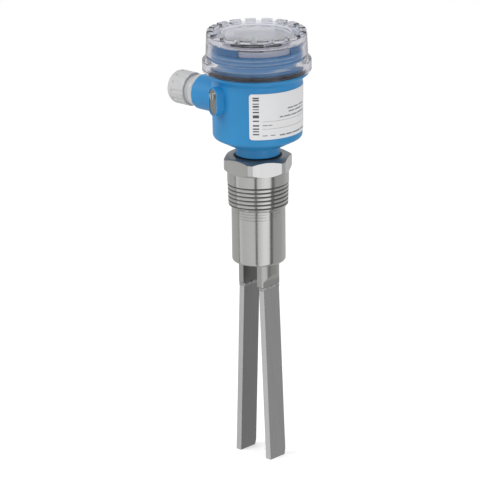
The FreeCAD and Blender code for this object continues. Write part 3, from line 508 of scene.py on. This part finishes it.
def swept(section_at, angles, full=True):
    """Points and faces of a solid about Z, whose closed section (radius, height) may change with the angle.

    A full turn whose angles end at 360 has a last ring that repeats the first, as a helix needs.
    """
    repeats = angles[-1] == 360.0
    rings = [section_at(a) for a in angles]
    count = len(rings[0])
    points = [(r * math.cos(math.radians(a)), r * math.sin(math.radians(a)), z)
              for a, ring in zip(angles, rings) for r, z in ring]
    faces = []
    for i in range(len(rings) if full and not repeats else len(rings) - 1):
        j = (i + 1) % len(rings)
        for k in range(count):
            n = (k + 1) % count
            faces.append((i * count + k, j * count + k, j * count + n, i * count + n))
    if not full:
        faces.append(tuple(range(count)))
        faces.append(tuple(range(len(points) - 1, len(points) - 1 - count, -1)))
    return points, faces


def joined(parts):
    """Several (points, faces) as one."""
    points, faces = [], []
    for some_points, some_faces in parts:
        start = len(points)
        points += some_points
        faces += [tuple(start + i for i in face) for face in some_faces]
    return points, faces


def even(count, start=0.0, sweep=360.0):
    """Evenly spaced angles over a full turn, or from edge to edge of a part of one."""
    steps = count if sweep == 360.0 else count - 1
    return [start + sweep * i / steps for i in range(count)]


def ridge(z, degrees, pitch, low, high, sharpness=RIDGE_SHARPNESS):
    """Height, 0 to 1, of a right-handed thread's flank at a place, run out at both ends."""
    phase = (z / pitch - degrees / 360.0) % 1.0
    flank = min(1.0, (1 - abs(2 * phase - 1)) * sharpness)
    return flank * max(0.0, min(1.0, (z - low) / pitch * 2, (high - z) / pitch * 2))


def thread_levels(degrees, pitch, low, high, sharpness=RIDGE_SHARPNESS, start=0.0):
    """Rising heights at which a thread's section bends at an angle, so that the faces follow its helix.

    Every angle has as many, because those of the turns beyond the span lie on its ends.
    """
    first = math.floor((low - start) / pitch) - 1
    levels = []
    for n in range(first, first + int((high - low) / pitch) + 4):
        for share in (0.0, 0.25, 0.5):
            levels.append(start + pitch * (n + share / sharpness + degrees / 360.0))
        for share in (0.5, 0.25):
            levels.append(start + pitch * (n + 1 - share / sharpness + degrees / 360.0))
    return [max(low, min(high, z)) for z in levels]


def threaded(root, height, inner, low, high, pitch):
    """A ring with a thread outside."""
    def section(degrees):
        levels = thread_levels(degrees, pitch, low, high)
        outside = [(root + height * ridge(z, degrees, pitch, low, high), z) for z in levels]
        return [(inner, low)] + outside + [(inner, high)]
    return swept(section, even(THREAD_STEPS) + [360.0])


def connection_section(degrees):
    """Section of the process connection: recess, hexagon cut to its angle, shank, pipe thread and tube."""
    away = math.radians(degrees % HEX_SIDE - HEX_SIDE / 2)
    r = min(HEX_TURNED, HEX_HALF / math.cos(away))
    top = HEX_TOP - (r - HEX_TOP_FACE) * math.tan(math.radians(HEX_CHAMFER))
    low = HEX_LOWER * (r - HEX_HALF) / (HEX_TURNED - HEX_HALF)
    sharpness = PIPE_PITCH / PIPE_GROOVE
    beyond = THREAD_LOW - PIPE_PITCH, THREAD_TOP + PIPE_PITCH
    thread = []
    for z in reversed(thread_levels(degrees, PIPE_PITCH, THREAD_LOW, THREAD_TOP, sharpness, PIPE_START)):
        crest = SHANK - THREAD_STEP + (z - THREAD_TOP) / THREAD_TAPER
        flank = ridge(z - PIPE_START, degrees, PIPE_PITCH, *beyond, sharpness)
        thread.append((crest - THREAD_DEPTH * (1 - flank), z))
    rings = []
    for z in RING_LEVELS:
        rings += [(TUBE, z + RING_HALF), (TUBE - RING_DEPTH, z + RING_FLOOR_HALF),
                  (TUBE - RING_DEPTH, z - RING_FLOOR_HALF), (TUBE, z - RING_HALF)]
    head = [
        (SPIGOT_BORE, SPIGOT_TOP), (SPIGOT, SPIGOT_TOP, SPIGOT_EDGE), (SPIGOT, RECESS_FLOOR),
        (RECESS, RECESS_FLOOR), (RECESS, HEX_TOP, RECESS_EDGE), (HEX_TOP_FACE, HEX_TOP), (r, top), (r, low),
        (HEX_HALF, 0.0), (SHANK, 0.0), (SHANK, THREAD_TOP + THREAD_GAP),
    ]
    foot = [(TUBE + FOOT_STEP, THREAD_LOW - THREAD_GAP), (TUBE, THREAD_LOW - FOOT_DROP)]
    end = [
        (TUBE, TUBE_END, TUBE_EDGE), (TUBE_BORE, TUBE_END), (TUBE_BORE, TUBE_ROOF), (SPIGOT_BORE, TUBE_ROOF),
    ]
    return rounded(head + thread + foot + rings + end)


def process_connection():
    """Turned and milled connection, which stands for the plain solid."""
    corner = math.degrees(math.acos(HEX_HALF / HEX_TURNED))
    crisp = [HEX_SIDE * i + HEX_SIDE / 2 + side * corner for i in range(6) for side in (-1, 1)]
    angles = sorted(set(even(CONNECTION_STEPS)) | set(crisp)) + [360.0]
    geometry = swept(connection_section, angles)
    made = piece("threaded_connection", geometry, "turned_steel", "sensor")

    def on_side(face):
        return HEX_FOOT < level_of(face) < HEX_TOP and radius_of(face) > HEX_TOP_FACE

    def on_flank(face):
        return THREAD_LOW < level_of(face) < THREAD_TOP and abs(face.normal.z) > FLANK_TILT

    repaint(made, "milled_steel", on_side)
    # Painted shade on the hexagon's flat that faces -Y.
    repaint(made, "shaded_steel", lambda face: on_side(face) and face.normal.y < -FACING)
    # The pipe thread's flanks: rougher, with painted shade in the grooves.
    repaint(made, "groove_steel", on_flank)
    # Painted shade on the hexagon's upward faces, over a rougher faced finish.
    repaint(made, "faced_steel", lambda face: level_of(face) > HEX_LOWER and face.normal.z > TOP_TILT)
    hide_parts("process_connection")


def collar_thread():
    """Coarse thread of the housing's collar, seen through the cover, in a lighter blue that is painted
    light, with a painted highlight on its crests.
    """
    made = piece("collar_thread", threaded(*COLLAR_THREAD), "collar_blue", "housing")
    # Painted highlight on the thread's crests.
    repaint(made, "crest_blue", lambda face: radius_of(face) > COLLAR_CREST)


def gland_thread():
    """The turns of the gland's thread that show between its flange and its nut, laid along its axis."""
    points, faces = threaded(*GLAND_THREAD)
    points = [(-z, y, x + GLAND_LEVEL) for x, y, z in points]
    piece("gland_thread", (points, faces), "grey_plastic", "housing")


def weld_bead(side):
    """Points and faces of the uneven bead of weld round one tine's root."""
    signs = ((-1, -1), (1, -1), (1, 1), (-1, 1))
    corners = rounded([(sx * WELD_HALF_X, sy * WELD_HALF_Y, WELD_CORNER) for sx, sy in signs])
    path = []
    for i, corner in enumerate(corners):
        here, after = Vector(corner), Vector(corners[(i + 1) % len(corners)])
        steps = max(1, round((after - here).length / WELD_STEP))
        path += [here.lerp(after, k / steps) for k in range(steps)]
    points, faces = [], []
    for i, at in enumerate(path):
        j = (i + 1) % len(path)
        along = (path[j] - path[i - 1]).normalized()
        ripple = WELD_RIPPLE * math.sin(WELD_RIPPLE_RATE * i)
        swell = WELD_RADIUS * (1 + ripple + WELD_DRIFT * math.sin(WELD_DRIFT_RATE * i + side))
        for k in range(WELD_SIDES):
            a = math.radians(360.0 / WELD_SIDES * k)
            n = (k + 1) % WELD_SIDES
            x, y = at + Vector((along.y, -along.x)) * swell * math.cos(a)
            points.append((side * WELD_CENTRE + x, y, WELD_LEVEL + WELD_STRETCH * swell * math.sin(a)))
            faces.append((WELD_SIDES * i + k, WELD_SIDES * j + k, WELD_SIDES * j + n, WELD_SIDES * i + n))
    return points, faces


def weld_beads():
    """The welds between the stubs and the tines."""
    beads = joined([weld_bead(-1), weld_bead(1)])
    piece("weld_beads", beads, "weld_steel", "sensor", WELD_SHARP)


def on_plate(left, right, low, high):
    """A thin printed patch on the nameplate."""
    steps = max(2, int((right - left) / PRINT_STEP) + 2)
    below, above = (PLATE_OUTSIDE + (PLATE_LOW + h - DRAFT_START) * math.tan(math.radians(DRAFT))
                    for h in (low, high))
    section = [(below - PRINT_SUNK, PLATE_LOW + low), (below + PRINT_RISE, PLATE_LOW + low),
               (above + PRINT_RISE, PLATE_LOW + high), (above - PRINT_SUNK, PLATE_LOW + high)]
    return swept(lambda _: section, even(steps, PLATE_START + left, right - left), False)


def nameplate_print():
    """Unlettered print: a ladder of bars, two thin rules, and rows of short blocks in place of text."""
    bars = [on_plate(BAR_LEFT, BAR_RIGHT, low, high) for low, high in BARS]
    piece("plate_bars", joined(bars), "dark_ink", "housing")
    lines = [on_plate(RULE_LEFT, RULE_RIGHT, level, level + RULE_WIDTH) for level in RULE_LEVELS]
    lines += [on_plate(left, right, low, high) for low, high, blocks in BLOCK_ROWS for left, right in blocks]
    piece("plate_lines", joined(lines), "grey_ink", "housing")


def world_light():
    """White where it is seen, banded like a studio for gloss, and a soft fill for the rest."""
    world = bpy.data.worlds.new("studio")
    bpy.context.scene.world = world
    world.use_nodes = True
    world.node_tree.nodes.clear()
    g = Nodes(world.node_tree)
    direction = g.node("ShaderNodeTexCoord").outputs["Generated"]
    towards = g.node("ShaderNodeSeparateXYZ", Vector=direction).outputs
    compass = g.calc("ARCTAN2", towards["Y"], towards["X"])
    bands = g.node("ShaderNodeValToRGB", Fac=g.remap(compass, -math.pi, math.pi, 0, 1))
    stops = bands.color_ramp.elements
    bands.color_ramp.interpolation = "EASE"
    for azimuth, level in GLOSS_BANDS:
        stops.new((azimuth + 180.0) / 360.0).color = (level, level, level, 1)
    stops.remove(stops[-1])
    stops.remove(stops[0])
    fill = g.node("ShaderNodeBackground", Color=(1, 1, 1), Strength=FILL).outputs[0]
    studio = g.node("ShaderNodeBackground", Color=bands.outputs["Color"], Strength=1.0).outputs[0]
    white = g.node("ShaderNodeBackground", Color=(1, 1, 1), Strength=1.0).outputs[0]
    is_gloss = g.node("ShaderNodeLightPath").outputs["Is Glossy Ray"]
    light = g.joint("ShaderNodeMixShader", (is_gloss, fill, studio))
    g.node("ShaderNodeOutputWorld", Surface=g.joint("ShaderNodeMixShader", (g.is_seen(), light, white)))


def area_light(name, azimuth, elevation, distance, width, height, power, aim):
    """A softbox that faces the axis at a height, from a compass direction. Its power is in watts."""
    light = bpy.data.lights.new(name, "AREA")
    light.shape = "RECTANGLE"
    light.size, light.size_y = width * MM, height * MM
    light.energy = power
    a, e = math.radians(azimuth), math.radians(elevation)
    away = Vector((math.cos(a) * math.cos(e), math.sin(a) * math.cos(e), math.sin(e)))
    obj = placed(name, light)
    obj.location = Vector((0, 0, aim * MM)) + away * distance * MM
    obj.rotation_euler = away.to_track_quat("Z", "Y").to_euler()


def floor():
    """Pale floor under the tips of the fork, which glows where it is seen, so that it reads as white."""
    mesh = bpy.data.meshes.new("floor")
    corners = [(sx * FLOOR_HALF, sy * FLOOR_HALF, 0) for sx, sy in ((-1, -1), (1, -1), (1, 1), (-1, 1))]
    mesh.from_pydata(corners, [], [(0, 1, 2, 3)])
    g = Finish("floor")
    g.set(Base_Color=(FLOOR_TONE,) * 3, Roughness=0.9, Specular_IOR_Level=0.0)
    brightness = g.calc("MULTIPLY", g.is_seen(), FLOOR_GLOW)
    glow = g.node("ShaderNodeEmission", Color=(1, 1, 1), Strength=brightness)
    both = g.joint("ShaderNodeAddShader", (g.shader.outputs[0], glow.outputs[0]))
    g.put(g.tree.nodes["Material Output"].inputs["Surface"], both)
    mesh.materials.append(g.material)
    obj = placed("floor", mesh)
    obj.location.z = cad_low.z - FLOOR_DROP
    obj.visible_glossy = False


def camera():
    """The photograph's long lens, aimed beside the axis and rolled as its frame needs."""
    data = bpy.data.cameras.new("camera")
    data.lens = LENS
    data.sensor_width = SENSOR
    data.clip_start, data.clip_end = CLIP_NEAR, CLIP_FAR
    a, e = math.radians(VIEW_AZIMUTH), math.radians(VIEW_ELEVATION)
    back = Vector((math.sin(a) * math.cos(e), -math.cos(a) * math.cos(e), math.sin(e)))
    right = Vector((math.cos(a), math.sin(a), 0))
    aim = Vector((0, 0, VIEW_LEVEL * MM)) - right * VIEW_SHIFT * MM
    turned = (-back).to_track_quat("-Z", "Y").to_matrix() @ Matrix.Rotation(math.radians(VIEW_ROLL), 3, "Z")
    obj = placed("camera", data)
    obj.location = aim + back * VIEW_DISTANCE * MM
    obj.rotation_euler = turned.to_euler()
    bpy.context.scene.camera = obj


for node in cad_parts.values():
    paint(node, "small_steel")
for node_finish, names in FINISHED_NODES.items():
    for node_name in names.split():
        paint(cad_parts[node_name], node_finish)
process_connection()
collar_thread()
gland_thread()
weld_beads()
nameplate_print()

world_light()
area_light("key", azimuth=-115.0, elevation=42.0, distance=1500.0, width=900.0, height=900.0,
           power=9.0, aim=20.0)
area_light("side", azimuth=-5.0, elevation=20.0, distance=1500.0, width=500.0, height=1200.0,
           power=4.0, aim=-60.0)
floor()
camera()
bpy.context.scene.view_settings.view_transform = "Standard"
